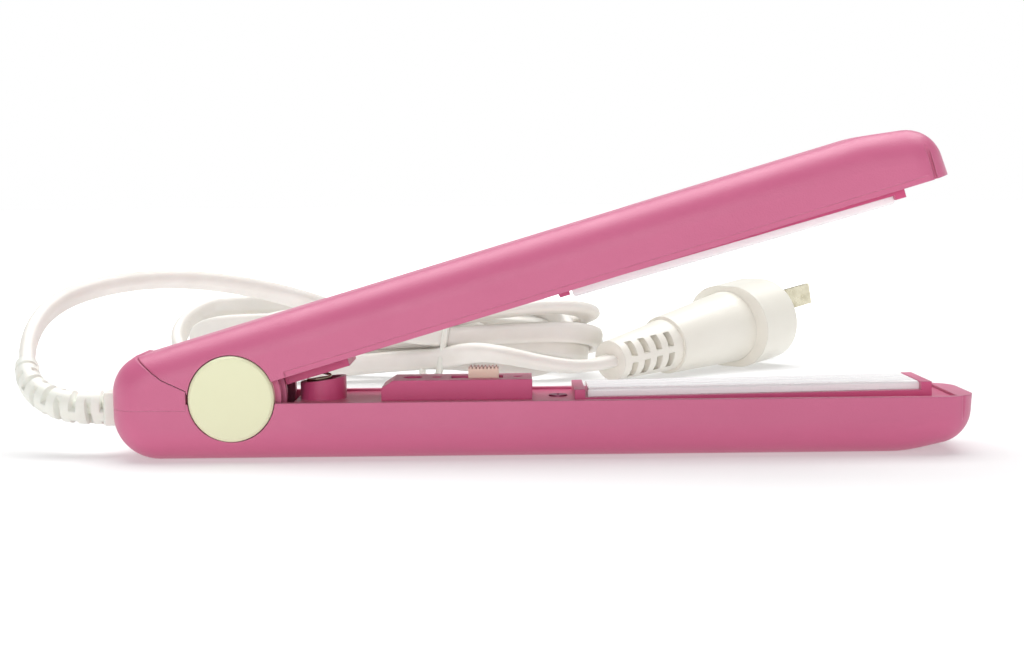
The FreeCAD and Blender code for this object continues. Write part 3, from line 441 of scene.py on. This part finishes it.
def end_turn(reach, start, finish):
    """Control points round one end of the hank, tangent to the strands on both sides."""
    start, finish = Vector(start), Vector(finish)
    middle, half = (start + finish) / 2, (finish - start) / 2
    side = 1 if reach > TIE_X else -1
    step = math.pi / END_STEPS
    out = 1 / math.cos(step / 2)
    points = []
    for number in range(END_STEPS):
        angle = -math.pi / 2 + (number + 0.5) * step
        across = middle + half * out * math.sin(angle)
        centre_x = reach - side * half.length
        points.append((centre_x + side * half.length * out * math.cos(angle), *across))
    return points


def fanned(fan, slot, end):
    """A point of a strand between its place at the tie and its place at an end."""
    x, share = fan
    return (x, *(Vector(slot).lerp(Vector(end), share)))


def hank_points():
    """(points, tilts) of every turn, from the lead's end to the tail's start."""
    points, tilts = [(TIE_X, *FRONT_SLOTS[0])], [0]
    for turn, (right, left) in enumerate(zip(RIGHT_ENDS, LEFT_ENDS)):
        right_x, right_front, right_back, right_tilt = right
        left_x, left_front, left_back, left_tilt = left
        back_slot, next_slot = BACK_SLOTS[turn], FRONT_SLOTS[turn + 1]
        strand = [fanned(RIGHT_FAN, FRONT_SLOTS[turn], right_front)]
        strand += end_turn(right_x, right_front, right_back)
        strand += [fanned(RIGHT_FAN, back_slot, right_back), (TIE_X, *back_slot),
                   fanned(LEFT_FAN, back_slot, left_back)]
        tilts += [right_tilt] * len(strand)
        home = [fanned(LEFT_SPREAD, back_slot, left_back)]
        home += end_turn(left_x, left_back, left_front)
        home += [fanned(LEFT_SPREAD, next_slot, left_front),
                 fanned(LEFT_FAN, next_slot, left_front), (TIE_X, *next_slot)]
        tilts += [left_tilt] * len(home)
        points += strand + home
    return points, tilts


turns, turn_tilts = hank_points()
route = LEAD_ROUTE + turns + TAIL_ROUTE
route_tilts = LEAD_TILTS + turn_tilts + TAIL_TILTS
cord_curve = bpy.data.curves.new("flex_cord", "CURVE")
cord_curve.dimensions = "3D"
cord_curve.twist_mode = "Z_UP"
cord_curve.bevel_mode = "OBJECT"
cord_curve.bevel_object = flat_section()
nurbs(cord_curve, [mm(*point) for point in route], route_tilts)
cord_curve.materials.append(SLOT_FINISHES["cord_white"])
cord = placed("flex_cord", cord_curve)
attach(cord, "lower_arm")
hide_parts("cord_lead", "cord_tail", "cord_hank")


TIE_WIRE = 0.95 * MM

# The tie leans: it crosses TIE_X at one height, and shifts along x by this much for each rise.
TIE_CROSSING_Z = 8
TIE_SHIFT, TIE_RISE = 2.6, 14


def twist_tie():
    """The wire tie round the bundle, with its two ends twisted together below."""
    low_y, high_y, low_z, high_z = 128.8, 142.0, 1.9, 22.6
    curve = bpy.data.curves.new("twist_tie", "CURVE")
    curve.dimensions = "3D"
    curve.bevel_depth = TIE_WIRE
    curve.bevel_resolution = 4
    corners = [(low_y, low_z), ((low_y + high_y) / 2, low_z - 0.4), (high_y, low_z),
               (high_y + 0.3, 8), (high_y + 0.3, 15), (high_y, high_z),
               ((low_y + high_y) / 2, high_z + 0.3), (low_y, high_z), (low_y - 0.5, 15),
               (low_y - 0.5, 8)]
    nurbs(curve, [mm(TIE_X + TIE_SHIFT * (z - TIE_CROSSING_Z) / TIE_RISE, y, z)
                  for y, z in corners], cyclic=True)
    ends = [(TIE_X - 0.8, low_y + 1.2, low_z + 0.2), (TIE_X - 2.2, low_y - 1.4, low_z - 0.5),
            (TIE_X - 4.4, low_y - 2.6, low_z - 0.3), (TIE_X - 5.8, low_y - 2.8, low_z + 0.9),
            (TIE_X - 5.4, low_y - 2.6, low_z + 2.2)]
    nurbs(curve, [mm(*point) for point in ends])
    curve.materials.append(SLOT_FINISHES["boot_white"])
    made = placed("twist_tie", curve)
    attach(made, "lower_arm")
    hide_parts("cord_tie")
    return made


tie = twist_tie()


# ---------------------------------------------------------------- strain relief

COLLAR_GAP = 0.05 * MM
COLLAR_FACE_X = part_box("lower_housing")[0].x - COLLAR_GAP
COLLAR_LONG = 3.0 * MM
COLLAR_HALF = 3.6 * MM
COLLAR_ROUNDING = 0.7 * MM
BOOT_RUN = 4.0 * MM
BOOT_BEND = 16 * MM
BOOT_SWEEP = math.radians(80)
BOOT_LEAN = math.radians(55)
RELIEF_FLANGE_HALF = 4.0 * MM
BOOT_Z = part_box("strain_relief")[0].z + RELIEF_FLANGE_HALF

# The boot's rings: half sizes and their taper in millimetres, then their pitch and gaps. A gap
# is a share of the pitch, and its core a share of the ring's size. A bridge crosses a gap where
# its place round the boot is further out than BRIDGE_REACH.
RIB_SIDE, RIB_SIDE_TAPER = 3.7, 0.5
RIB_UP, RIB_UP_TAPER = 3.3, 0.8
RIB_PITCH = 3.05 * MM
GAP_SHARE = 0.42
GAP_CORE = 0.42
PLAIN_START = 0.8 * MM
PLAIN_END = 1.6 * MM
BRIDGE_REACH = 0.88
SQUARENESS = 0.15


def boot_place(distance):
    """(centre, heading, side, up) at a distance from the collar along the boot's bend."""
    rise = Vector((0, math.sin(BOOT_LEAN), math.cos(BOOT_LEAN)))
    start = Vector((COLLAR_FACE_X - COLLAR_LONG, 0, BOOT_Z))
    back = Vector((-1, 0, 0))
    side = back.cross(rise)
    if distance <= BOOT_RUN:
        return start + back * distance, back, side, rise
    angle = (distance - BOOT_RUN) / BOOT_BEND
    centre = (start + back * (BOOT_RUN + BOOT_BEND * math.sin(angle))
              + rise * BOOT_BEND * (1 - math.cos(angle)))
    heading = back * math.cos(angle) + rise * math.sin(angle)
    up = rise * math.cos(angle) - back * math.sin(angle)
    return centre, heading, side, up


def relief_boot():
    """The bent strain relief: rings joined by bridges that change side at each gap."""
    long = BOOT_RUN + BOOT_BEND * BOOT_SWEEP
    steps, around = 420, 48
    bm = bmesh.new()
    rows = []
    for number in range(steps + 1):
        share = number / steps
        distance = long * share
        centre, heading, side, up = boot_place(distance)
        half_side = (RIB_SIDE - RIB_SIDE_TAPER * share) * MM
        half_up = (RIB_UP - RIB_UP_TAPER * share) * MM
        ring, within = divmod(distance - PLAIN_START, RIB_PITCH)
        in_gap = within / RIB_PITCH > 1 - GAP_SHARE and distance < long - PLAIN_END
        row = []
        for turn in range(around):
            angle = 2 * math.pi * turn / around
            across, upward = math.cos(angle), math.sin(angle)
            bridge = (abs(upward) if ring % 2 else abs(across)) > BRIDGE_REACH
            core = GAP_CORE if in_gap and not bridge else 1.0
            square = (abs(across) ** 4 + abs(upward) ** 4) ** -0.25
            reach = core * (1 - SQUARENESS + SQUARENESS * square)
            place = centre + side * across * half_side * reach + up * upward * half_up * reach
            row.append(bm.verts.new(place))
        rows.append(row)
    tube_wall(bm, rows)
    return piece_of("relief_boot", bm, "boot_white", "lower_arm")


def relief_collar():
    """The square block that the boot grows out of, with rounded corners."""
    bm = bmesh.new()
    bmesh.ops.create_cube(bm, size=1)
    bmesh.ops.scale(bm, vec=(COLLAR_LONG, 2 * COLLAR_HALF, 2 * COLLAR_HALF), verts=bm.verts)
    bmesh.ops.translate(bm, vec=(COLLAR_FACE_X - COLLAR_LONG / 2, 0, BOOT_Z), verts=bm.verts)
    bmesh.ops.bevel(bm, geom=bm.edges[:], offset=COLLAR_ROUNDING, segments=4, profile=0.5,
                    affect="EDGES")
    return piece_of("relief_collar", bm, "boot_white", "lower_arm")


boot = relief_boot()
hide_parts("strain_relief")
collar = relief_collar()


# ---------------------------------------------------------------- opening spring

SPRING_WIRE = 0.3 * MM
SPRING_TURNS = 6
STEPS_PER_TURN = 30
WIRE_SIDES = 10


def opening_spring():
    """The coil between the arms; on the real straightener it shortens as they close."""
    low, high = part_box("opening_spring")
    centre = (low + high) / 2
    coil_radius = (high.x - low.x) / 2 - SPRING_WIRE
    foot, rise = low.z + SPRING_WIRE, high.z - low.z - 2 * SPRING_WIRE
    steps = STEPS_PER_TURN * SPRING_TURNS
    bm = bmesh.new()
    rows = []
    for number in range(steps + 1):
        share = number / steps
        angle = 2 * math.pi * SPRING_TURNS * share
        outward = Vector((math.cos(angle), math.sin(angle), 0))
        middle = Vector((centre.x, centre.y, foot + rise * share)) + outward * coil_radius
        row = []
        for turn in range(WIRE_SIDES):
            around_wire = 2 * math.pi * turn / WIRE_SIDES
            row.append(bm.verts.new(middle + SPRING_WIRE * (
                outward * math.cos(around_wire) + Vector((0, 0, math.sin(around_wire))))))
        rows.append(row)
    tube_wall(bm, rows)
    made = piece_of("spring_coil", bm, "spring_steel", "lower_arm")
    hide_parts("opening_spring")
    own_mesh(made)


opening_spring()


# ---------------------------------------------------------------- stage and light

FLOOR_SIZE = 6


def floor():
    """A wide flat sheet under the object."""
    bm = bmesh.new()
    bmesh.ops.create_grid(bm, x_segments=4, y_segments=4, size=FLOOR_SIZE)
    mesh = bpy.data.meshes.new("floor")
    bm.to_mesh(mesh)
    bm.free()
    mesh.materials.append(floor_paper())
    made = placed("floor", mesh)


def softbox(name, place, target, size, power):
    """A rectangular light; places and sizes are in metres, its power in watts."""
    data = bpy.data.lights.new(name, "AREA")
    data.shape = "RECTANGLE"
    data.size, data.size_y = size
    data.energy = power
    light = placed(name, data)
    light.location = place
    light.rotation_mode = "QUATERNION"
    light.rotation_quaternion = (Vector(target) - Vector(place)).to_track_quat("-Z", "Y")


floor()
softbox("top_softbox", place=(0, 0.3, 0.85), target=(0, 0.03, 0), size=(1.2, 0.8), power=12)
softbox("front_softbox", place=(-0.25, -1.2, 0.4), target=(0, 0, 0.03), size=(0.8, 0.6),
        power=4.2)


# Up to WALL_LEVEL the world is white, and above CEILING_LEVEL it is grey.
WALL_LEVEL, CEILING_LEVEL = 0.13, 0.34
WALL_WHITE, CEILING_GREY = 1, 0.16


def studio_world():
    """White walls all round at eye level, darker overhead behind the softbox."""
    world = bpy.data.worlds.new("studio")
    world.use_nodes = True
    tree = world.node_tree
    place = tree.nodes.new("ShaderNodeTexCoord").outputs["Generated"]
    split = tree.nodes.new("ShaderNodeSeparateXYZ")
    ramp = tree.nodes.new("ShaderNodeValToRGB")
    tree.links.new(place, split.inputs[0])
    tree.links.new(split.outputs["Z"], ramp.inputs["Fac"])
    stops = ((WALL_LEVEL, WALL_WHITE), (CEILING_LEVEL, CEILING_GREY))
    for element, (level, grey) in zip(ramp.color_ramp.elements, stops):
        element.position = level
        element.color = (grey, grey, grey, 1)
    tree.links.new(ramp.outputs["Color"], tree.nodes["Background"].inputs["Color"])
    bpy.context.scene.world = world


studio_world()
bpy.context.scene.view_settings.view_transform = "Standard"
